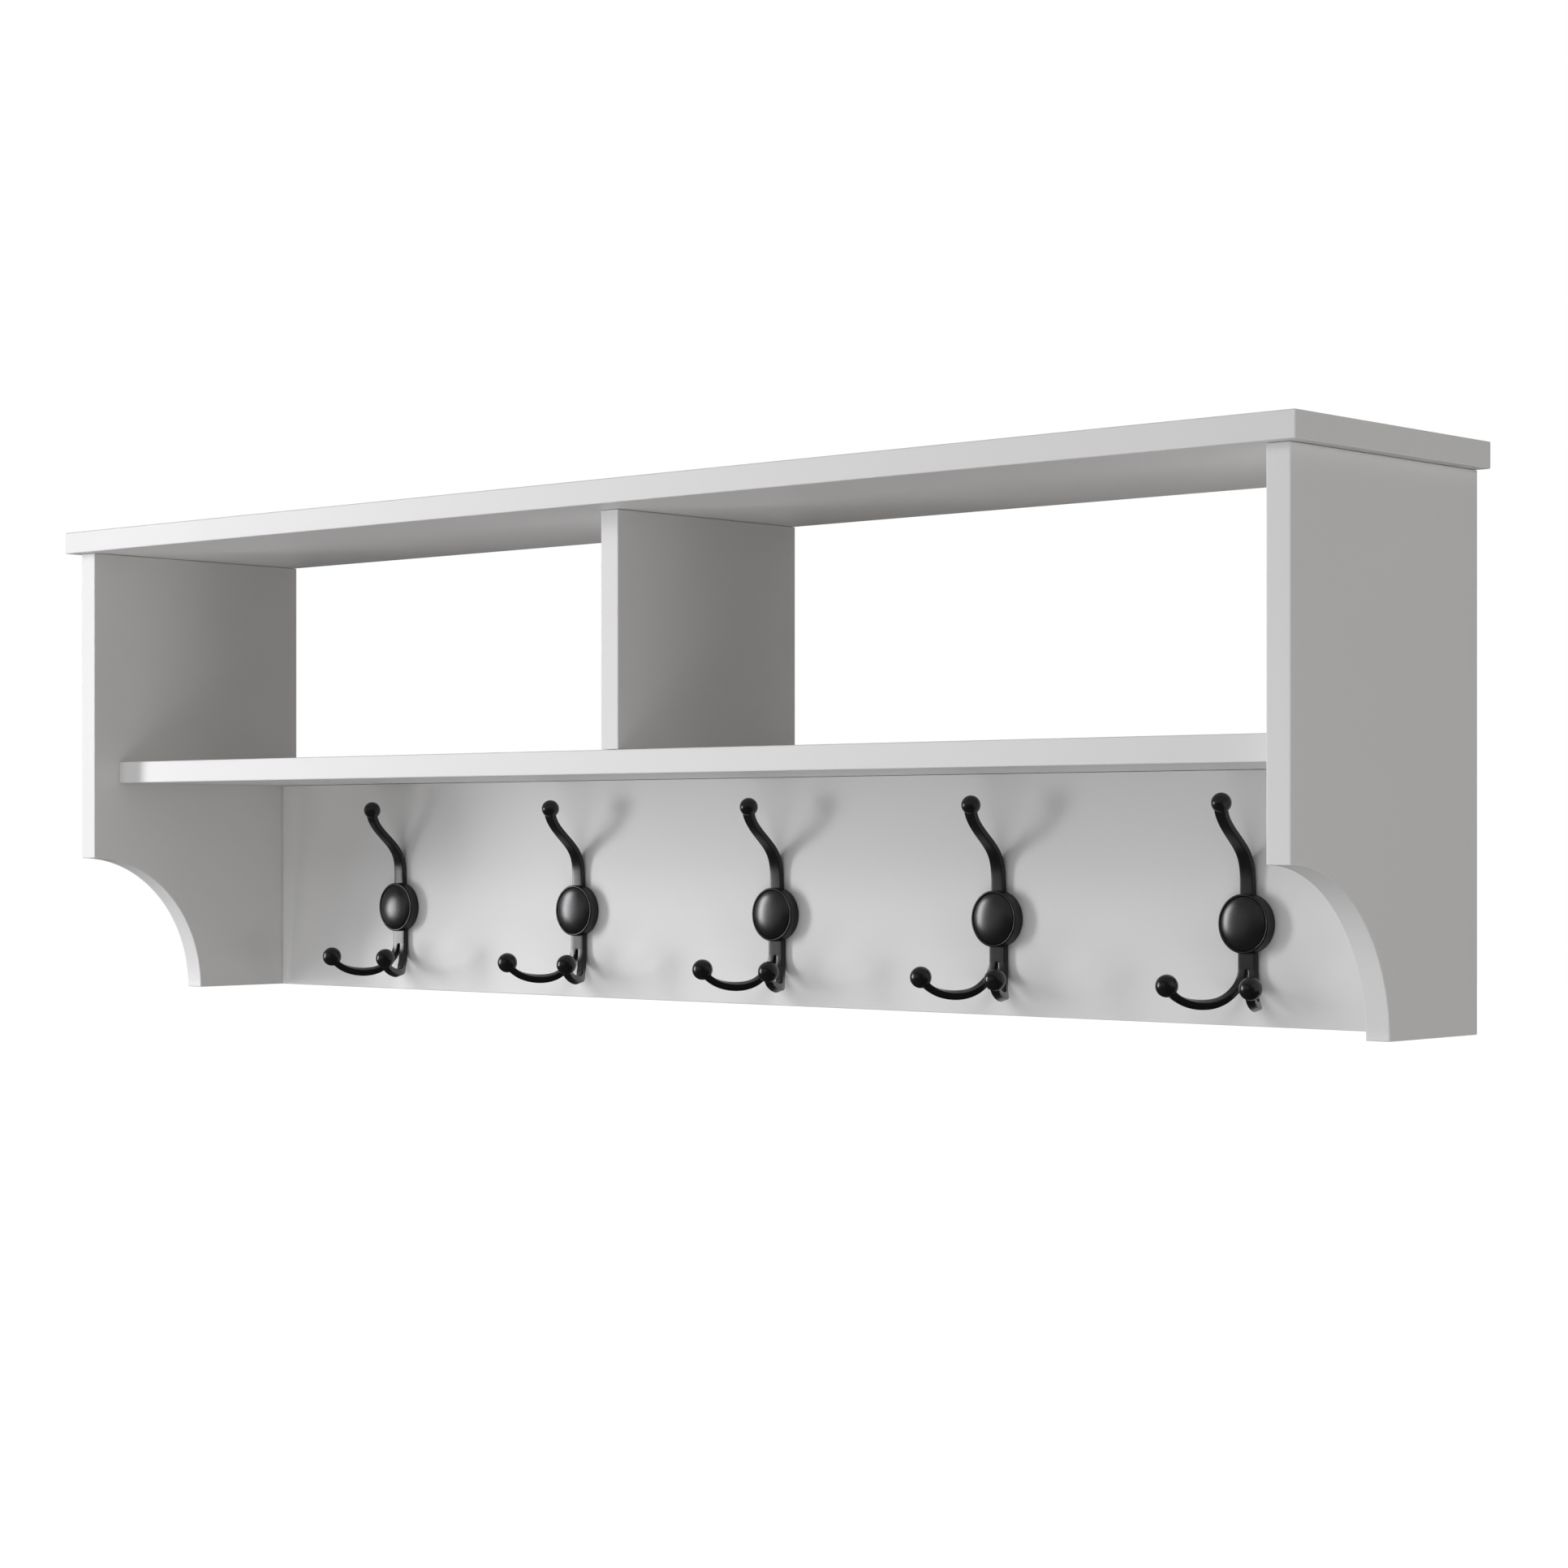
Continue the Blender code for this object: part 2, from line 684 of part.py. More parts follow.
def main():
    clear_scene()
    paint = make_material("white paint", (0.79, 0.78, 0.76), 0.42, 0.0)
    black = make_material("black cast metal", (0.018, 0.018, 0.020), 0.40, 0.35)
    black_cap = make_material("black cap", (0.022, 0.023, 0.025), 0.32, 0.35)
    zinc = make_material("zinc-plated steel", (0.62, 0.62, 0.60), 0.34, 1.0)
    steel = make_material("hanger steel", (0.50, 0.50, 0.49), 0.40, 1.0)
    beech = make_material("beech", (0.66, 0.45, 0.27), 0.62, 0.0)

    boards = make_boards(paint)
    bores = {name: [] for name in boards}
    pockets = []
    make_dowels(bores, beech)
    make_hooks(bores, black, black_cap, zinc)
    make_hangers(bores, pockets, steel, zinc)
    cut_boards(boards, bores, pockets)


main()
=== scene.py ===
"""Finish of the wall hook rack: painted boards, cast hooks with their caps, fixings and studio.

Laid out as an add-on and run as a script. Metres, +Z up, with the room on the -Y side and the
wall at Y = 0.
"""

import math

import bmesh
import bpy
from mathutils import Matrix, Vector


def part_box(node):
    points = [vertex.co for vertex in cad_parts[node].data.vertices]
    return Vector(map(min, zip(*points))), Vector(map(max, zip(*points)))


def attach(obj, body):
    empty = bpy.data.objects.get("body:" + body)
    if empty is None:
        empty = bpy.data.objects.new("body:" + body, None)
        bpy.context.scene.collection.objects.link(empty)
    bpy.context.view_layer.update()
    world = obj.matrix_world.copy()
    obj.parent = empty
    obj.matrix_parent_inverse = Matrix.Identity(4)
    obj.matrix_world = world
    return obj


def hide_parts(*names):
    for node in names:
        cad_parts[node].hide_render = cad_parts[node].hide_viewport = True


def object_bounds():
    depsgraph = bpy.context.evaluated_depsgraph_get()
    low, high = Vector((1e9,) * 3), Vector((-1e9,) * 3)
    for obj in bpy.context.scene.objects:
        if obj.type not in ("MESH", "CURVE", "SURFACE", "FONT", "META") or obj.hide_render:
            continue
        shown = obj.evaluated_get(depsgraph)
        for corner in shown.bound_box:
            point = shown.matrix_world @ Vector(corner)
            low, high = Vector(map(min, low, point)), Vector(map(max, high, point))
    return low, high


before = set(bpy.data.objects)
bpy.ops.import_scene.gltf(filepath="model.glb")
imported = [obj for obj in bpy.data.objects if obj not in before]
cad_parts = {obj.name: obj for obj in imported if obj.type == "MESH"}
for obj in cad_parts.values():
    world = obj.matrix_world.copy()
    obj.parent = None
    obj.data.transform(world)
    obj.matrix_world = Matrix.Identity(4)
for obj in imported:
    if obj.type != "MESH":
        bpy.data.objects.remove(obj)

bl_info = {
    "name": "Wall Hook Rack Finish",
    "version": (1, 0, 0),
    "blender": (4, 5, 0),
    "location": "3D View > Sidebar > Hook Rack",
    "description": "Builds the painted boards, cast hooks and studio around the packed hook rack",
    "category": "Object",
}

CAD_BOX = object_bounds()
BODY = "root"
MM = 0.001
X_AXIS, Y_AXIS, Z_AXIS = Vector((1, 0, 0)), Vector((0, 1, 0)), Vector((0, 0, 1))

# Hooks: a casting's own place is its rose's centre on the panel, y out of the panel negative
HOOK_COUNT = 5
ROSE_RADIUS = 20.8 * MM
ROSE_DEPTH = 8.8 * MM
ROSE_SEGMENTS = 96
RECESS_RADIUS = 18.9 * MM
RECESS_FLOOR = 2.5 * MM
RECUT = 0.02 * MM  # how much wider the recess is when it is cleared
CAP_RADIUS = 18.6 * MM
CAP_EDGE = 8.4 * MM
CAP_WALL = 1.3 * MM
CAP_STEPS = 9
STEM_TOP = 16.0 * MM
CROTCH = 32.3 * MM
STEM_WIDTH = 15.0 * MM
SLIT_WIDTH = 1.6 * MM
STEM_THICKNESS = 4.2 * MM
BAR_BACK = 0.2 * MM
BAR_ROOT = 4 * MM  # length of the block that a prong is drawn from
BAR_MIDDLE = -BAR_BACK - STEM_THICKNESS / 2
UPPER_PRONG = (
    (0.0, -0.0023, 0.0187),
    (0.0, -0.0023, 0.0500),
    (0.0, -0.0010, 0.0510),
    (0.0, -0.0400, 0.0668),
    (0.0, -0.0346, 0.0834),
)
LOWER_PRONG = (
    (0.0043, -0.0023, -0.0281),
    (0.0048, -0.0101, -0.0642),
    (0.0282, -0.0145, -0.0550),
    (0.0277, -0.0465, -0.0599),
    (0.0345, -0.0501, -0.0425),
)

# The prongs' sections. Widths and thicknesses without a unit here are millimetres
TANGENT_STEP = 0.02  # how far apart, along a centre line, its direction is taken
UPPER_STEPS = 14
UPPER_END = 0.95  # share of the centre line that is drawn; the ball covers the rest
UPPER_ROOT_WIDTH = 11.8
UPPER_NARROWING = 3.6
UPPER_THICKENING = 0.8
UPPER_COLLAR_START = 0.86
UPPER_COLLAR = (0.9, 0.5)  # extra width and thickness under the ball
LOWER_STEPS = 16
LOWER_END = 0.96
LOWER_ROOT_WIDTH = 6.7
LOWER_NARROWING = 0.4
LOWER_THICKENING = 1.6
LOWER_COLLAR_START = 0.84
LOWER_COLLAR = 0.9
LOWER_BANK = math.radians(22)
# Level cuts that hold the lower stem's shape when it is smoothed, as shares of its length
STEM_HOLDS = (0.4, 0.7, 0.86, 0.95)
# Steps from the rose's front edge to its recess: inset and rise, in millimetres
RIM_STEPS = (
    (0.18, 0.30), (0.26, 0.18), (0.36, 0.10), (0.30, 0.02), (0.20, 0.0), (0.14, -0.06),
    (0.18, -0.35),
)
RIM_HEIGHT = 0.6 * MM
RIM_LIP = 0.2 * MM
CAP_SKIRT = 2.8 * MM  # where the cap's skirt ends, out from the panel
CAP_HOLLOW = 2.4 * MM
CAP_SHOULDER = (2.4, 0.8)  # powers that set how square the dome's shoulder is
CAP_CROWN = 0.06  # the middle facet's share of the radius
SCREW_SPREAD = 9 * MM
SCREW_HOLE = 2.3 * MM
SMOOTH_ANGLE = 35

# Boards
CUT_OUT_RADIUS = 113.5 * MM
BOARD_SMOOTH_ANGLE = 12
SHARP_ANGLE = math.radians(40)
BORE_GAP = 0.3 * MM  # left round each dowel and screw
POCKET_SIZE = (14 * MM, 16 * MM, 32 * MM)
POCKET_RISE = 6 * MM  # from a keyhole plate's middle up to its pocket's
WELD = 0.002 * MM  # points closer than this become one


# Settings


class RackBoardSettings(bpy.types.PropertyGroup):
    paint: bpy.props.FloatVectorProperty(
        name="Paint", description="Colour of the satin paint", default=(0.80, 0.797, 0.79),
        subtype="COLOR", size=3, min=0, max=1,
    )
    edge_radius: bpy.props.FloatProperty(
        name="Edge radius", description="Rounding of the edges that show", default=0.0008,
        min=0.0001, max=0.003, unit="LENGTH",
    )
    joint_radius: bpy.props.FloatProperty(
        name="Joint radius", description="Rounding of the edges that meet another board",
        default=0.0003, min=0.0001, max=0.003, unit="LENGTH",
    )


class RackHookSettings(bpy.types.PropertyGroup):
    coat: bpy.props.FloatVectorProperty(
        name="Coat", description="Colour of the powder coat", default=(0.0078, 0.0080, 0.0086),
        subtype="COLOR", size=3, min=0, max=1,
    )
    upper_ball: bpy.props.FloatProperty(
        name="Upper ball", description="Radius of the ball on the upper prong", default=0.0071,
        min=0.004, max=0.012, unit="LENGTH",
    )
    lower_ball: bpy.props.FloatProperty(
        name="Lower balls", description="Radius of the balls on the lower prongs", default=0.0080,
        min=0.004, max=0.012, unit="LENGTH",
    )
    bar_rounding: bpy.props.FloatProperty(
        name="Bar rounding", description="Rounding of the prongs' long edges", default=0.0008,
        min=0.0004, max=0.002, unit="LENGTH",
    )
    cap_rise: bpy.props.FloatProperty(
        name="Cap rise", description="Height of the cap's dome", default=0.0028,
        min=0.001, max=0.006, unit="LENGTH",
    )


class RackFixingSettings(bpy.types.PropertyGroup):
    zinc: bpy.props.FloatVectorProperty(
        name="Zinc", description="Colour of the plated screws", default=(0.66, 0.66, 0.63),
        subtype="COLOR", size=3, min=0, max=1,
    )
    steel: bpy.props.FloatVectorProperty(
        name="Hanger steel", description="Colour of the keyhole plates", default=(0.50, 0.51, 0.51),
        subtype="COLOR", size=3, min=0, max=1,
    )
    beech: bpy.props.FloatVectorProperty(
        name="Beech", description="Colour of the dowels", default=(0.62, 0.42, 0.25),
        subtype="COLOR", size=3, min=0, max=1,
    )


class RackStageSettings(bpy.types.PropertyGroup):
    floor_drop: bpy.props.FloatProperty(
        name="Floor drop", description="Height of the rack's foot above the floor", default=1.4,
        min=0.5, max=3, unit="LENGTH",
    )
    floor_size: bpy.props.FloatProperty(
        name="Floor size", description="Side of the square floor", default=60, min=5, max=200,
        unit="LENGTH",
    )


# Shader building


class Signal:
    """A socket whose arithmetic adds Math nodes."""

    def __init__(self, finish, socket):
        self.finish, self.socket = finish, socket

    def _math(self, operation, first, second):
        return self.finish.node("ShaderNodeMath", {"operation": operation}, {0: first, 1: second})

    def __add__(self, other):
        return self._math("ADD", self, other)

    def __radd__(self, other):
        return self._math("ADD", other, self)

    def __sub__(self, other):
        return self._math("SUBTRACT", self, other)

    def __rsub__(self, other):
        return self._math("SUBTRACT", other, self)

    def __mul__(self, other):
        return self._math("MULTIPLY", self, other)

    def __rmul__(self, other):
        return self._math("MULTIPLY", other, self)

    def __pow__(self, other):
        return self._math("POWER", self, other)

    def __rpow__(self, other):
        return self._math("POWER", other, self)


class Finish:
    """A material being made: node() adds one node and returns its output as a Signal."""

    def __init__(self, name):
        self.material = bpy.data.materials.new(name)
        self.material.use_nodes = True
        self.tree = self.material.node_tree
        self.shader = self.tree.nodes["Principled BSDF"]

    def node(self, kind, settings=None, inputs=None, output=0):
        node = self.tree.nodes.new(kind)
        for key, value in (settings or {}).items():
            if key == "stops":
                ramp = node.color_ramp.elements
                while len(ramp) < len(value):
                    ramp.new(1)
                for stop, (position, colour) in zip(ramp, value):
                    stop.position, stop.color = position, colour
            else:
                setattr(node, key, value)
        for key, value in (inputs or {}).items():
            self.feed(node.inputs[key], value)
        return Signal(self, node.outputs[output])

    def feed(self, socket, value):
        if isinstance(value, Signal):
            self.tree.links.new(value.socket, socket)
        else:
            socket.default_value = value

    def set(self, **values):
        for key, value in values.items():
            self.feed(self.shader.inputs[key.replace("_", " ")], value)

    def place(self, scale=(1, 1, 1)):
        where = self.node("ShaderNodeTexCoord", output="Object")
        return self.node("ShaderNodeMapping", {}, {"Vector": where, "Scale": scale})

    def noise(self, where, scale, detail=3.0, roughness=0.55, distortion=0.0):
        return self.node(
            "ShaderNodeTexNoise",
            {"noise_dimensions": "3D"},
            {"Vector": where, "Scale": scale, "Detail": detail, "Roughness": roughness,
             "Distortion": distortion},
        )

    def between(self, factor, first, second):
        """Mixes two colours, given as numbers, by a signal from 0 to 1."""
        return self.node(
            "ShaderNodeMix", {"data_type": "RGBA"}, {0: factor, 6: (*first, 1), 7: (*second, 1)}, 2
        )

    def relief(self, height, strength, distance, under=None):
        inputs = {"Height": height, "Strength": strength, "Distance": distance}
        if under is not None:
            inputs["Normal"] = under
        return self.node("ShaderNodeBump", {}, inputs)


def shade(colour, factor):
    return tuple(min(channel * factor, 1) for channel in colour)


def paint_finish(colour):
    """Satin paint on board: sprayed orange peel, faint cloudiness, and a little dust."""
    finish = Finish("satin white paint")
    where = finish.place()
    cloud = finish.noise(where, 5.0, 4)
    peel = finish.noise(where, 620.0, 2)
    speck = finish.noise(where, 2400.0, 2)
    tone = cloud * 0.7 + peel * 0.3
    finish.set(
        Base_Color=finish.between(tone, shade(colour, 0.975), shade(colour, 1.02)),
        Roughness=0.36 + cloud * 0.08 + peel * 0.08,
        Normal=finish.relief(peel, 0.20, 0.00012, finish.relief(speck, 0.12, 0.00003)),
        IOR=1.46,
    )
    return finish.material


def coat_finish(name, colour, roughness, grain):
    """Satin powder coat on cast metal: fine grain, and slow changes of sheen."""
    finish = Finish(name)
    where = finish.place()
    cloud = finish.noise(where, 60.0, 4)
    sand = finish.noise(where, 1500.0, 3, 0.6)
    ripple = finish.noise(where, 260.0, 2)
    finish.set(
        Base_Color=finish.between(cloud, shade(colour, 0.82), shade(colour, 1.22)),
        Roughness=roughness - 0.03 + cloud * 0.06 + sand * (grain * 0.4),
        Normal=finish.relief(sand, grain, 0.00006, finish.relief(ripple, grain * 0.6, 0.00015)),
        IOR=1.5,
    )
    return finish.material


def zinc_finish(colour):
    """Bright zinc plating with faint turning marks."""
    finish = Finish("zinc plating")
    fine = finish.noise(finish.place((1, 14, 1)), 900.0, 3)
    cloud = finish.noise(finish.place(), 240.0, 3)
    finish.set(
        Base_Color=finish.between(cloud, shade(colour, 0.86), shade(colour, 1.08)),
        Roughness=0.24 + fine * 0.16,
        Normal=finish.relief(fine, 0.15, 0.00004),
        Metallic=1.0,
    )
    return finish.material


def steel_finish(colour):
    """Rolled steel sheet, brushed along its height and slightly tarnished."""
    finish = Finish("brushed hanger steel")
    brush = finish.noise(finish.place((1, 1, 0.03)), 1800.0, 4, 0.7)
    stain = finish.noise(finish.place(), 90.0, 4)
    finish.set(
        Base_Color=finish.between(stain, shade(colour, 0.80), shade(colour, 1.10)),
        Roughness=0.30 + brush * 0.18,
        Normal=finish.relief(brush, 0.25, 0.00003),
        Metallic=1.0,
    )
    return finish.material


def beech_finish(colour):
    """Steamed beech: pale wood with short dark flecks."""
    finish = Finish("beech dowel wood")
    grain = finish.noise(finish.place((1, 1, 0.12)), 420.0, 5, 0.65, 0.6)
    fleck = finish.noise(finish.place((1, 1, 0.3)), 1500.0, 2) ** 4.0
    finish.set(
        Base_Color=finish.between(grain, shade(colour, 0.72), shade(colour, 1.15)),
        Roughness=0.55 + fleck * 0.25,
        Normal=finish.relief(grain - fleck, 0.30, 0.00008),
    )
    return finish.material


# Modelling helpers


def begin(name, add, **start):
    """Adds a primitive, and returns its object with its place and size in the mesh."""
    bpy.ops.object.select_all(action="DESELECT")
    add(**start)
    piece = bpy.context.object
    piece.name = piece.data.name = name
    bpy.ops.object.transform_apply(location=True, rotation=True, scale=True)
    return piece


def only(piece):
    bpy.ops.object.select_all(action="DESELECT")
    piece.select_set(True)
    bpy.context.view_layer.objects.active = piece


def edit(piece):
    only(piece)
    bpy.ops.object.mode_set(mode="EDIT")


def leave():
    bpy.ops.object.mode_set(mode="OBJECT")


def pick(piece, kind, test):
    """In edit mode, selects only the faces or edges that pass a test. Returns how many."""
    mesh = bmesh.from_edit_mesh(piece.data)
    bpy.ops.mesh.select_mode(type=kind)
    bpy.ops.mesh.select_all(action="DESELECT")
    found = {"FACE": mesh.faces, "EDGE": mesh.edges}[kind]
    chosen = [item for item in found if test(item)]
    for item in chosen:
        item.select_set(True)
    bmesh.update_edit_mesh(piece.data)
    return len(chosen)


def facing(direction, limit=0.99):
    return lambda face: face.normal.dot(direction) > limit


def turn_about(matrix, centre):
    """Turns the selection by a rotation matrix about a point."""
    quaternion = matrix.to_quaternion()
    axis, angle = quaternion.to_axis_angle()
    if abs(angle) < 1e-6:
        return
    side = axis.orthogonal().normalized()
    across = Matrix((side, axis.cross(side), axis)).transposed()
    bpy.ops.transform.rotate(
        value=angle, orient_axis="Z", orient_type="GLOBAL", orient_matrix=across,
        orient_matrix_type="GLOBAL", constraint_axis=(False, False, True), center_override=centre,
    )


def draw_through(sections):
    """Draws the selected end face on through sections of (centre, axes, width, thickness)."""
    before = sections[0]
    for after in sections[1:]:
        centre, axes, width, thickness = after
        bpy.ops.mesh.extrude_region_move(TRANSFORM_OT_translate={"value": centre - before[0]})
        turn_about(axes @ before[1].transposed(), centre)
        bpy.ops.transform.resize(
            value=(width / before[2], thickness / before[3], 1), orient_type="GLOBAL",
            orient_matrix=axes, orient_matrix_type="GLOBAL", center_override=centre,
        )
        before = after


def modify(piece, kind, **settings):
    """Adds a modifier to the piece and applies it."""
    only(piece)
    modifier = piece.modifiers.new(kind.title(), kind)
    for key, value in settings.items():
        setattr(modifier, key, value)
    bpy.ops.object.modifier_apply(modifier=modifier.name)


def combine(piece, other, operation):
    """Applies an exact Boolean with another object, which is then removed."""
    modify(piece, "BOOLEAN", operation=operation, object=other, solver="EXACT")
    bpy.data.objects.remove(other, do_unlink=True)


def tidy_normals(piece):
    edit(piece)
    bpy.ops.mesh.select_all(action="SELECT")
    bpy.ops.mesh.remove_doubles(threshold=WELD)
    bpy.ops.mesh.normals_make_consistent(inside=False)
    leave()


def smooth(piece, degrees):
    only(piece)
    bpy.ops.object.shade_smooth_by_angle(angle=math.radians(degrees))


def finish_piece(piece, material, slot, *nodes):
    """Gives a piece its material and its body, and hides the nodes that it stands for. The slot is
    not used.
    """
    piece.data.materials.clear()
    piece.data.materials.append(material)
    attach(piece, BODY)
    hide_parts(*nodes)


def copy_to(piece, name, offset):
    """A copy with its own mesh, moved by offset within that mesh."""
    twin = piece.copy()
    twin.data = piece.data.copy()
    twin.name = twin.data.name = name
    bpy.context.scene.collection.objects.link(twin)
    twin.data.transform(Matrix.Translation(offset))
    return twin


def bezier(controls, t):
    degree = len(controls) - 1
    point = Vector((0, 0, 0))
    for index, control in enumerate(controls):
        point += math.comb(degree, index) * (1 - t) ** (degree - index) * t**index * Vector(control)
    return point


# Boards


def fixing_cutter():
    """One cutter with the bores of every dowel and screw, made from copies of them."""
    bpy.ops.object.select_all(action="DESELECT")
    for name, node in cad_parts.items():
        node.select_set(name.startswith("dowel") or "_screw_" in name)
    bpy.context.view_layer.objects.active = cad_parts["dowel_top_left_1"]
    bpy.ops.object.duplicate()
    bpy.context.view_layer.objects.active = bpy.context.selected_objects[0]
    bpy.ops.object.join()
    cutter = bpy.context.object
    cutter.parent = None
    for key in list(cutter.keys()):
        del cutter[key]
    cutter.name = "bores"
    edit(cutter)
    bpy.ops.mesh.select_all(action="SELECT")
    bpy.ops.mesh.remove_doubles(threshold=WELD)
    bpy.ops.transform.shrink_fatten(value=BORE_GAP, use_even_offset=True)
    leave()
    return cutter


def board(name, node):
    """A board from its node's box."""
    low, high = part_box(node)
    return begin(
        name, bpy.ops.mesh.primitive_cube_add, size=1, location=(low + high) / 2, scale=high - low
    )


def round_edges(piece, contact, settings):
    """Rounds the sharp edges: those lying in a contact plane a little, the rest fully."""
    def meets(edge):
        return any(
            all(abs(vert.co[axis] - place) < 1e-5 for vert in edge.verts) for axis, place in contact
        )

    def sharp(edge):
        return len(edge.link_faces) == 2 and edge.calc_face_angle() > SHARP_ANGLE

    edit(piece)
    if pick(piece, "EDGE", lambda edge: sharp(edge) and not meets(edge)):
        bpy.ops.mesh.bevel(
            offset=settings.edge_radius, segments=3, affect="EDGES", clamp_overlap=True
        )
    if pick(piece, "EDGE", lambda edge: sharp(edge) and meets(edge)):
        bpy.ops.mesh.bevel(
            offset=settings.joint_radius, segments=1, affect="EDGES", clamp_overlap=True
        )
    leave()


def cut_corner(piece, low, high):
    """Takes a quarter circle out of a side's lower front corner."""
    disc = begin(
        "cut-out", bpy.ops.mesh.primitive_cylinder_add, vertices=192, radius=CUT_OUT_RADIUS,
        depth=0.1, location=((low.x + high.x) / 2, low.y, low.z), rotation=(0, math.pi / 2, 0),
    )
    combine(piece, disc, "DIFFERENCE")


def cut_pockets(piece, back):
    """Makes room behind each keyhole plate for a wall screw's head."""
    for place in ("left", "middle", "right"):
        hanger_low, hanger_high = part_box(f"hanger_{place}")
        middle = (hanger_low + hanger_high) / 2
        pocket = begin(
            "pocket", bpy.ops.mesh.primitive_cube_add, size=1,
            location=(middle.x, back, middle.z + POCKET_RISE), scale=POCKET_SIZE,
        )
        combine(piece, pocket, "DIFFERENCE")


def contact_planes():
    """For each board, the planes in which it meets another, as (axis, place)."""
    shelf_low, shelf_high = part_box("middle_shelf")
    left_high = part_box("side_panel_left")[1]
    right_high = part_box("side_panel_right")[1]
    panel_low, panel_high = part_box("back_panel")
    divider_low, divider_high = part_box("centre_divider")
    return {
        "top_board": (),
        "middle_shelf": ((0, shelf_low.x), (0, shelf_high.x)),
        "centre_divider": ((2, divider_low.z), (2, divider_high.z)),
        "back_panel": ((0, panel_low.x), (0, panel_high.x), (2, panel_high.z)),
        "side_panel_left": ((2, left_high.z),),
        "side_panel_right": ((2, right_high.z),),
    }


class RACK_OT_boards(bpy.types.Operator):
    """Model the six painted boards, with their rounded edges, cut-outs and bores"""

    bl_idname = "rack.boards"
    bl_label = "Painted Boards"

    def execute(self, context):
        settings = context.scene.rack_boards
        paint = paint_finish(settings.paint)
        cutter = fixing_cutter()
        for node, contact in contact_planes().items():
            low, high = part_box(node)
            piece = board(f"painted_{node}", node)
            if node.startswith("side"):
                cut_corner(piece, low, high)
            round_edges(piece, contact, settings)
            modify(piece, "BOOLEAN", operation="DIFFERENCE", object=cutter, solver="EXACT")
            if node == "back_panel":
                cut_pockets(piece, high.y)
            smooth(piece, BOARD_SMOOTH_ANGLE)
            finish_piece(piece, paint, "white_paint", node)
        bpy.data.objects.remove(cutter, do_unlink=True)
        return {"FINISHED"}


# Cast hooks


def heading(controls, t):
    """Which way a centre line runs at t."""
    back = max(t - TANGENT_STEP, 0)
    return (bezier(controls, t + TANGENT_STEP) - bezier(controls, back)).normalized()


def upper_sections():
    """Sections of the upper prong: it narrows from the rose to a small collar under the ball."""
    sections = []
    for step in range(UPPER_STEPS + 1):
        t = step / UPPER_STEPS
        place = t * UPPER_END
        along = heading(UPPER_PRONG, place)
        axes = Matrix((X_AXIS, along.cross(X_AXIS), along)).transposed()
        collar = max(t - UPPER_COLLAR_START, 0) / (1 - UPPER_COLLAR_START)
        width = (UPPER_ROOT_WIDTH - UPPER_NARROWING * t + UPPER_COLLAR[0] * collar) * MM
        thickness = STEM_THICKNESS + (UPPER_THICKENING * t + UPPER_COLLAR[1] * collar) * MM
        sections.append((bezier(UPPER_PRONG, place), axes, width, thickness))
    return sections


def lower_sections():
    """Sections of the right lower prong, from the crotch to its ball."""
    start = Vector(((STEM_WIDTH + SLIT_WIDTH) / 4, BAR_MIDDLE, -CROTCH))
    down = Matrix((X_AXIS, -Y_AXIS, -Z_AXIS)).transposed()
    sections = [(start, down, (STEM_WIDTH - SLIT_WIDTH) / 2, STEM_THICKNESS)]
    for step in range(1, LOWER_STEPS + 1):
        t = step / LOWER_STEPS * LOWER_END
        centre = bezier(LOWER_PRONG, t)
        # The prong leaves the stem's plane gently, and its line a little sooner
        away = min(t / 0.25, 1)
        away = away * away * (3 - 2 * away)
        centre.y = BAR_MIDDLE + (centre.y - BAR_MIDDLE) * away
        centre.x = start.x + (centre.x - start.x) * min(t / 0.15, 1)
        along = heading(LOWER_PRONG, t)
        level = Vector((-along.y, along.x, 0)).normalized()
        across = X_AXIS.lerp(level, min(t / 0.4, 1)).normalized()
        across.rotate(Matrix.Rotation(LOWER_BANK * math.sin(math.pi * t), 3, along))
        across = (across - along * across.dot(along)).normalized()
        axes = Matrix((across, along.cross(across), along)).transposed()
        collar = max(t - LOWER_COLLAR_START, 0) / (LOWER_END - LOWER_COLLAR_START)
        narrowing = LOWER_NARROWING * min(t / 0.3, 1)
        width = (LOWER_ROOT_WIDTH - narrowing + LOWER_COLLAR * collar) * MM
        thickness = STEM_THICKNESS + LOWER_THICKENING * MM * min(t / 0.5, 1)
        sections.append((centre, axes, width, thickness))
    return sections


def make_bar(name, sections):
    """A prong: a cube's end face drawn through the sections."""
    centre, axes, width, thickness = sections[0]
    piece = begin(
        name, bpy.ops.mesh.primitive_cube_add, size=1,
        location=centre - axes.col[2] * BAR_ROOT / 2, scale=(width, thickness, BAR_ROOT),
    )
    edit(piece)
    pick(piece, "FACE", facing(axes.col[2]))
    draw_through(sections)
    leave()
    return piece


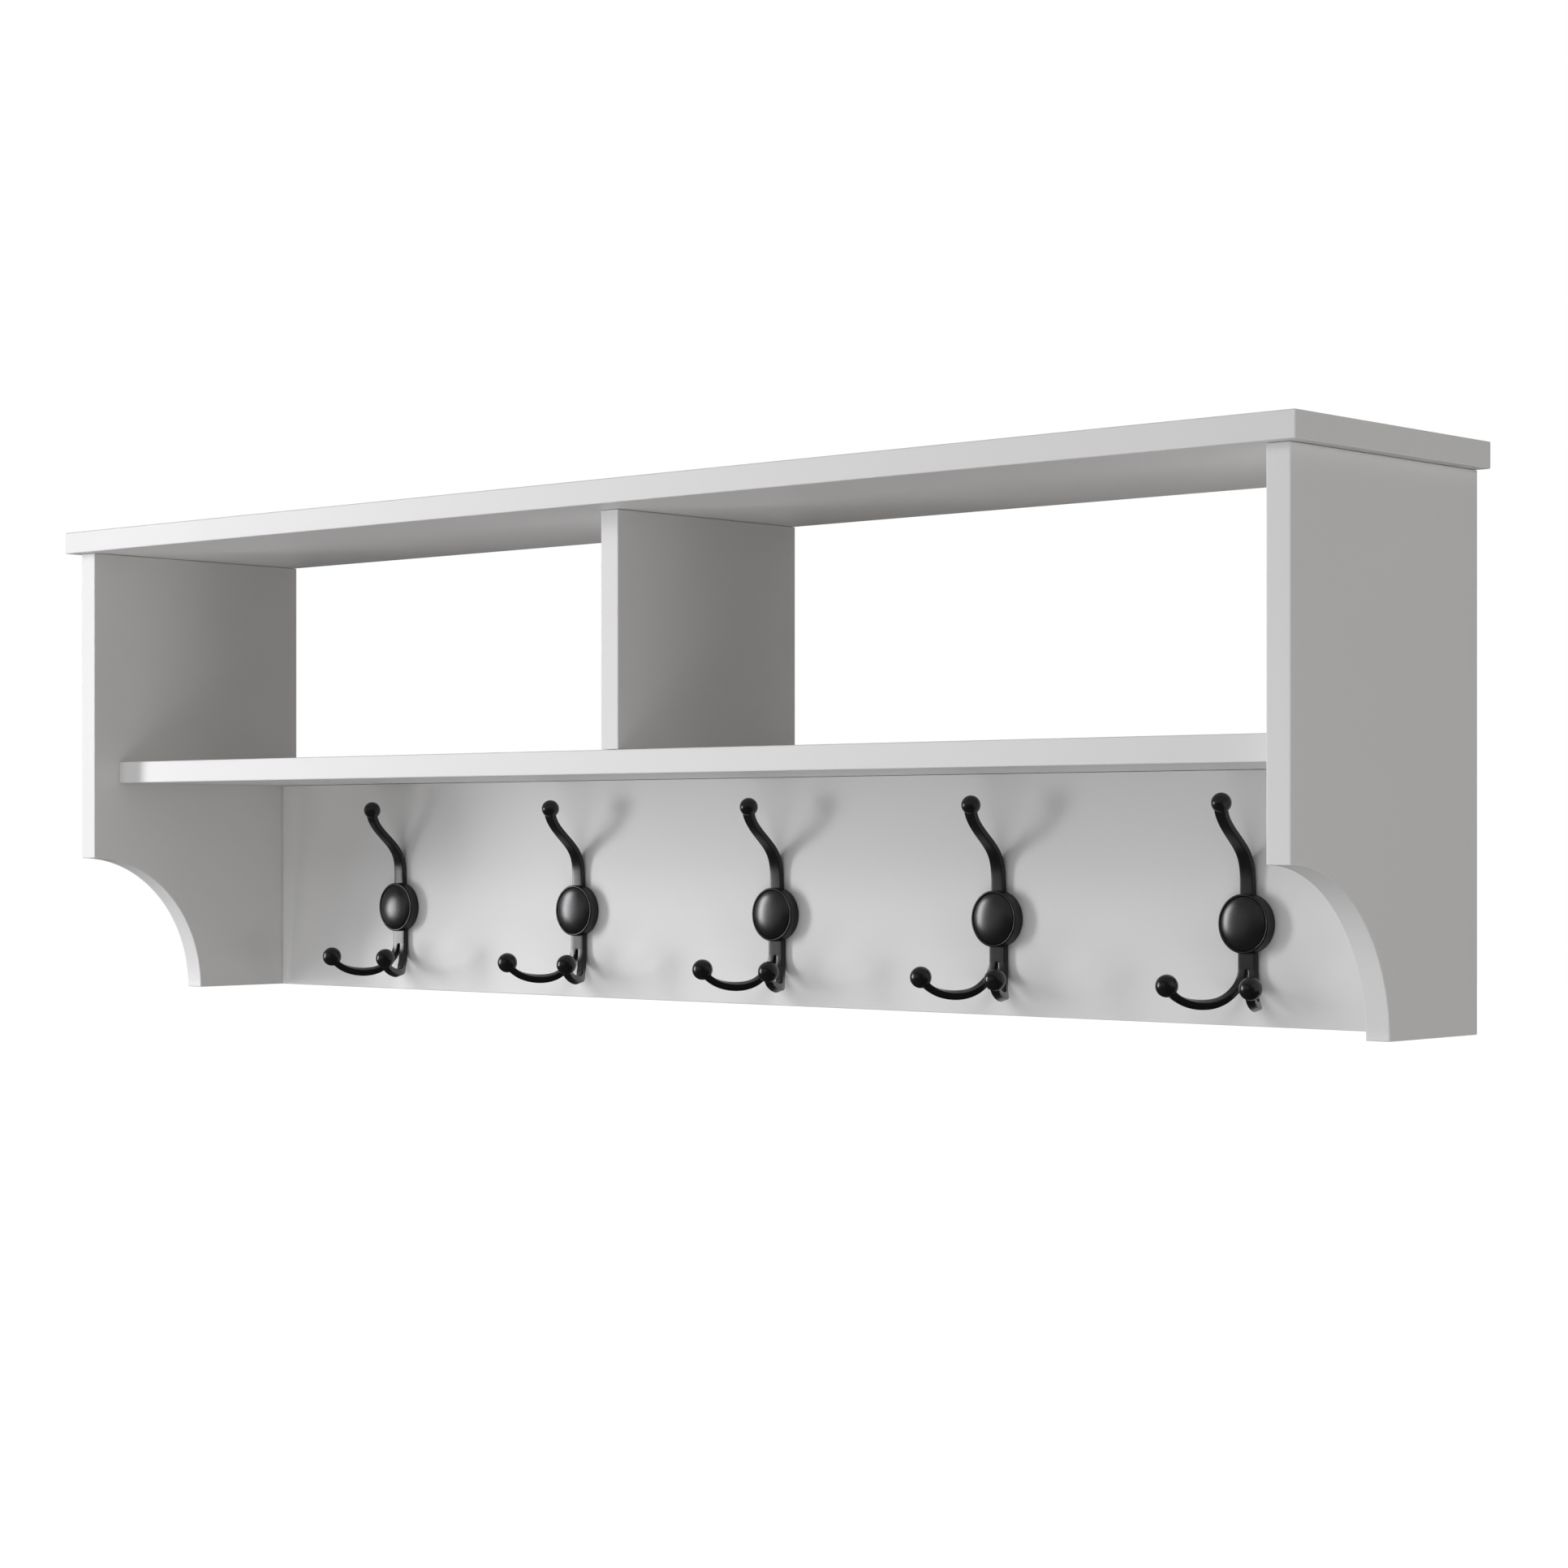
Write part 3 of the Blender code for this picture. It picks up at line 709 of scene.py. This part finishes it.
def make_fork():
    """The lower stem and its two prongs: half is drawn, and the other half mirrored."""
    depth = CROTCH - STEM_TOP
    half = STEM_WIDTH / 2
    piece = begin(
        "fork", bpy.ops.mesh.primitive_cube_add, size=1,
        location=(half / 2, BAR_MIDDLE, -(CROTCH + STEM_TOP) / 2),
        scale=(half, STEM_THICKNESS, depth),
    )
    edit(piece)
    bpy.ops.mesh.select_all(action="SELECT")
    bpy.ops.mesh.bisect(plane_co=(SLIT_WIDTH / 2, 0, 0), plane_no=(1, 0, 0))
    for level in STEM_HOLDS:
        bpy.ops.mesh.select_all(action="SELECT")
        bpy.ops.mesh.bisect(plane_co=(0, 0, -STEM_TOP - depth * level), plane_no=(0, 0, 1))
    pick(piece, "FACE", facing(-X_AXIS))
    bpy.ops.mesh.delete(type="FACE")
    down = facing(-Z_AXIS)
    pick(piece, "FACE", lambda face: down(face) and face.calc_center_median().x > SLIT_WIDTH / 2)
    draw_through(lower_sections())
    leave()
    modify(piece, "MIRROR", use_axis=(True, False, False), use_clip=True, merge_threshold=0.00001)
    tidy_normals(piece)
    return piece


def soften(piece, rounding):
    modify(
        piece, "BEVEL", width=rounding, segments=2, limit_method="ANGLE",
        angle_limit=math.radians(50), use_clamp_overlap=True,
    )
    modify(piece, "SUBSURF", levels=2, render_levels=2)


def facing_rod(name, vertices, radius, start, length, height=0.0):
    """A cylinder that faces the room: it starts so far out of the panel and runs for a length."""
    return begin(
        name, bpy.ops.mesh.primitive_cylinder_add, vertices=vertices, radius=radius, depth=length,
        location=(0, -start - length / 2, height), rotation=(math.pi / 2, 0, 0),
    )


def make_rose():
    """The round rose: a drum with a rounded shoulder, a fine rim and a recess for the cap."""
    drum = ROSE_DEPTH - RIM_HEIGHT
    piece = facing_rod("rose", ROSE_SEGMENTS, ROSE_RADIUS, 0, drum)
    edit(piece)
    pick(piece, "FACE", facing(-Y_AXIS))
    for inset, rise in RIM_STEPS:
        bpy.ops.mesh.inset(thickness=inset * MM, depth=rise * MM)
    inward = sum(inset for inset, rise in RIM_STEPS) * MM
    outward = sum(rise for inset, rise in RIM_STEPS) * MM
    bpy.ops.mesh.inset(thickness=ROSE_RADIUS - RECESS_RADIUS - inward, depth=-RIM_LIP)
    sink = drum + outward - RIM_LIP - RECESS_FLOOR
    bpy.ops.mesh.extrude_region_move(TRANSFORM_OT_translate={"value": (0, sink, 0)})
    leave()
    return piece


def make_ball(name, centre, radius):
    return begin(
        name, bpy.ops.mesh.primitive_uv_sphere_add, segments=40, ring_count=20, radius=radius,
        location=centre,
    )


def hook_seat(number):
    """A hook's place: its rose's centre, on the casting's back plane."""
    low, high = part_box(f"hook_{number}_cap")
    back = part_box(f"hook_{number}_casting")[1].y
    return Vector(((low.x + high.x) / 2, back, (low.z + high.z) / 2))


class RACK_OT_castings(bpy.types.Operator):
    """Model one cast hook, with its rose, stems, three prongs and balls, and set out five"""

    bl_idname = "rack.castings"
    bl_label = "Cast Hooks"

    def execute(self, context):
        settings = context.scene.rack_hooks
        casting = make_rose()
        for part in (make_bar("upper", upper_sections()), make_fork()):
            soften(part, settings.bar_rounding)
            combine(casting, part, "UNION")
        # The stems start inside the rose, so its recess is cleared again for the cap
        recess = facing_rod(
            "recess", ROSE_SEGMENTS, RECESS_RADIUS + RECUT, RECESS_FLOOR - RECUT, 20 * MM
        )
        combine(casting, recess, "DIFFERENCE")
        balls = [("upper ball", UPPER_PRONG[-1], settings.upper_ball)]
        x, y, z = LOWER_PRONG[-1]
        balls += [(f"ball {side}", (side * x, y, z), settings.lower_ball) for side in (-1, 1)]
        for name, centre, radius in balls:
            combine(casting, make_ball(name, centre, radius), "UNION")
        for side in (1, -1):
            hole = facing_rod("hole", 24, SCREW_HOLE, -3 * MM, 8 * MM, side * SCREW_SPREAD)
            combine(casting, hole, "DIFFERENCE")
        tidy_normals(casting)
        smooth(casting, SMOOTH_ANGLE)
        coat = coat_finish("black powder coat", settings.coat, 0.25, 0.04)
        for number in range(1, HOOK_COUNT + 1):
            hook = copy_to(casting, f"cast_hook_{number}", hook_seat(number))
            finish_piece(hook, coat, "black_casting", f"hook_{number}_casting")
        bpy.data.objects.remove(casting, do_unlink=True)
        return {"FINISHED"}


class RACK_OT_caps(bpy.types.Operator):
    """Model one domed cap and set out five"""

    bl_idname = "rack.caps"
    bl_label = "Hook Caps"

    def execute(self, context):
        settings = context.scene.rack_hooks
        cap = facing_rod("cap", ROSE_SEGMENTS, CAP_RADIUS, CAP_SKIRT, CAP_EDGE - CAP_SKIRT)
        edit(cap)
        pick(cap, "FACE", facing(-Y_AXIS))
        radius, height = CAP_RADIUS, 0.0
        square, full = CAP_SHOULDER
        for step in range(1, CAP_STEPS + 1):
            share = math.cos(math.pi / 2 * step / CAP_STEPS) if step < CAP_STEPS else CAP_CROWN
            rise = settings.cap_rise * (1 - share**square) ** full
            bpy.ops.mesh.inset(thickness=radius - CAP_RADIUS * share, depth=rise - height)
            radius, height = CAP_RADIUS * share, rise
        pick(cap, "FACE", facing(Y_AXIS))
        bpy.ops.mesh.inset(thickness=CAP_WALL)
        bpy.ops.mesh.extrude_region_move(TRANSFORM_OT_translate={"value": (0, -CAP_HOLLOW, 0)})
        leave()
        tidy_normals(cap)
        smooth(cap, SMOOTH_ANGLE)
        coat = coat_finish("black cap coat", settings.coat, 0.26, 0.01)
        for number in range(1, HOOK_COUNT + 1):
            piece = copy_to(cap, f"domed_cap_{number}", hook_seat(number))
            finish_piece(piece, coat, "black_cap", f"hook_{number}_cap")
        bpy.data.objects.remove(cap, do_unlink=True)
        return {"FINISHED"}


class RACK_OT_fixings(bpy.types.Operator):
    """Give the screws, keyhole plates and dowels their metal and wood finishes"""

    bl_idname = "rack.fixings"
    bl_label = "Fixings"

    def execute(self, context):
        settings = context.scene.rack_fixings
        zinc = zinc_finish(settings.zinc)
        steel = steel_finish(settings.steel)
        beech = beech_finish(settings.beech)
        for name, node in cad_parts.items():
            if "_screw_" in name:
                material = zinc
            elif name.startswith("hanger"):
                material = steel
            elif name.startswith("dowel"):
                material = beech
            else:
                continue
            for place in node.material_slots:
                place.material = material
        return {"FINISHED"}


# Studio


MIDDLE = (0, -0.05, -0.2)
# Each light's place, aim, size, power, colour, and whether it shows in reflections
LIGHTS = {
    "key": ((-4.0, -2.75, 0.2), MIDDLE, (0.8, 2.2), 102, (0.985, 0.975, 1), True),
    "low left": ((-3.4, -2.6, -1.6), MIDDLE, (1.5, 1.5), 42, (0.94, 0.945, 0.985), False),
    "front": ((-0.4, -4.6, 1.0), MIDDLE, (4.5, 2.5), 13, (0.96, 0.96, 1), True),
    "front high": ((-0.4, -3.6, 2.0), MIDDLE, (3.5, 2.0), 34, (0.975, 0.97, 0.99), False),
    "side": ((3.6, -0.25, -0.1), (0.6, -0.1, -0.2), (1.6, 2.0), 38, (1, 1, 1), False),
    "below": ((0.0, -1.6, -2.0), MIDDLE, (3.0, 2.0), 35, (0.98, 0.975, 0.985), False),
    "above": ((0.0, -1.0, 2.4), MIDDLE, (3.0, 2.0), 9, (1, 0.985, 0.95), False),
    "behind high": ((0.0, 2.4, 2.2), MIDDLE, (3.0, 1.6), 9, (1, 0.985, 0.97), True),
    "behind low": ((0.0, 2.4, -1.5), MIDDLE, (3.0, 1.6), 9, (1, 0.985, 0.97), True),
}
REFLECTION_CARD = ((-2.7, -3.2, -0.3), MIDDLE, (2.6, 1.4), 5, (1, 1, 1), True)
WORLD_LIGHT = (0.060, 0.057, 0.054)
CAMERA_PLACE = (1.76592, -1.966013, -0.254048)
CAMERA_TURN = 0.733
CAMERA_LENS = 77.389
CAMERA_SHIFT = 0.03578
CAMERA_SENSOR = 36


def add_light(name, location, target, size, power, colour, reflected):
    bpy.ops.object.light_add(type="AREA", location=location)
    light = bpy.context.object
    light.name = name
    light.data.shape = "RECTANGLE"
    light.data.size, light.data.size_y = size
    light.data.energy = power
    light.data.color = colour
    light.rotation_euler = (Vector(target) - Vector(location)).to_track_quat("-Z", "Y").to_euler()
    light.visible_glossy = reflected
    return light


class RACK_OT_stage(bpy.types.Operator):
    """Set out the pale floor, the studio lights and the camera"""

    bl_idname = "rack.stage"
    bl_label = "Studio"

    def execute(self, context):
        settings = context.scene.rack_stage
        floor_z = CAD_BOX[0][2] - settings.floor_drop
        floor = begin(
            "studio_floor", bpy.ops.mesh.primitive_plane_add, size=settings.floor_size,
            location=(0, 0, floor_z),
        )
        finish = Finish("pale floor")
        finish.set(
            Base_Color=(0.9, 0.9, 0.9, 1), Roughness=0.8,
            Emission_Color=(1, 1, 1, 1), Emission_Strength=1.0,
        )
        floor.data.materials.append(finish.material)
        floor.visible_diffuse = False
        floor.visible_glossy = False

        bpy.ops.object.select_all(action="DESELECT")
        for name, light in LIGHTS.items():
            add_light(name, *light)
        card = add_light("reflection card", *REFLECTION_CARD)
        card.visible_diffuse = False

        world = bpy.data.worlds.new("studio")
        context.scene.world = world
        world.use_nodes = True
        tree = world.node_tree
        plain = tree.nodes["Background"]
        plain.inputs["Color"].default_value = (*WORLD_LIGHT, 1)
        seen = tree.nodes.new("ShaderNodeBackground")
        seen.inputs["Color"].default_value = (1, 1, 1, 1)
        path = tree.nodes.new("ShaderNodeLightPath")
        mix = tree.nodes.new("ShaderNodeMixShader")
        tree.links.new(path.outputs["Is Camera Ray"], mix.inputs[0])
        tree.links.new(plain.outputs[0], mix.inputs[1])
        tree.links.new(seen.outputs[0], mix.inputs[2])
        tree.links.new(mix.outputs[0], tree.nodes["World Output"].inputs[0])

        context.scene.view_settings.view_transform = "Standard"
        bpy.ops.object.camera_add(location=CAMERA_PLACE, rotation=(math.pi / 2, 0, CAMERA_TURN))
        camera = bpy.context.object
        camera.name = "camera"
        camera.data.sensor_width = CAMERA_SENSOR
        camera.data.lens = CAMERA_LENS
        camera.data.shift_y = CAMERA_SHIFT
        camera.data.dof.use_dof = False
        context.scene.camera = camera
        return {"FINISHED"}


class RACK_PT_panel(bpy.types.Panel):
    """Lists the steps that build the rack"""

    bl_label = "Hook Rack"
    bl_idname = "RACK_PT_panel"
    bl_space_type = "VIEW_3D"
    bl_region_type = "UI"
    bl_category = "Hook Rack"

    def draw(self, context):
        for settings, operators in STEPS:
            box = self.layout.box()
            group = getattr(context.scene, settings)
            for key in group.bl_rna.properties.keys():
                if key not in ("rna_type", "name"):
                    box.prop(group, key)
            for operator in operators:
                box.operator(operator.bl_idname)


STEPS = (
    ("rack_boards", (RACK_OT_boards,)),
    ("rack_hooks", (RACK_OT_castings, RACK_OT_caps)),
    ("rack_fixings", (RACK_OT_fixings,)),
    ("rack_stage", (RACK_OT_stage,)),
)
SETTINGS = {
    "rack_boards": RackBoardSettings,
    "rack_hooks": RackHookSettings,
    "rack_fixings": RackFixingSettings,
    "rack_stage": RackStageSettings,
}
CLASSES = (
    *SETTINGS.values(),
    RACK_OT_boards,
    RACK_OT_castings,
    RACK_OT_caps,
    RACK_OT_fixings,
    RACK_OT_stage,
    RACK_PT_panel,
)


def register():
    for cls in CLASSES:
        bpy.utils.register_class(cls)
    for name, group in SETTINGS.items():
        setattr(bpy.types.Scene, name, bpy.props.PointerProperty(type=group))


def unregister():
    for name in SETTINGS:
        delattr(bpy.types.Scene, name)
    for cls in reversed(CLASSES):
        bpy.utils.unregister_class(cls)


def main():
    register()
    bpy.ops.rack.boards()
    bpy.ops.rack.castings()
    bpy.ops.rack.caps()
    bpy.ops.rack.fixings()
    bpy.ops.rack.stage()


if __name__ == "__main__":
    main()
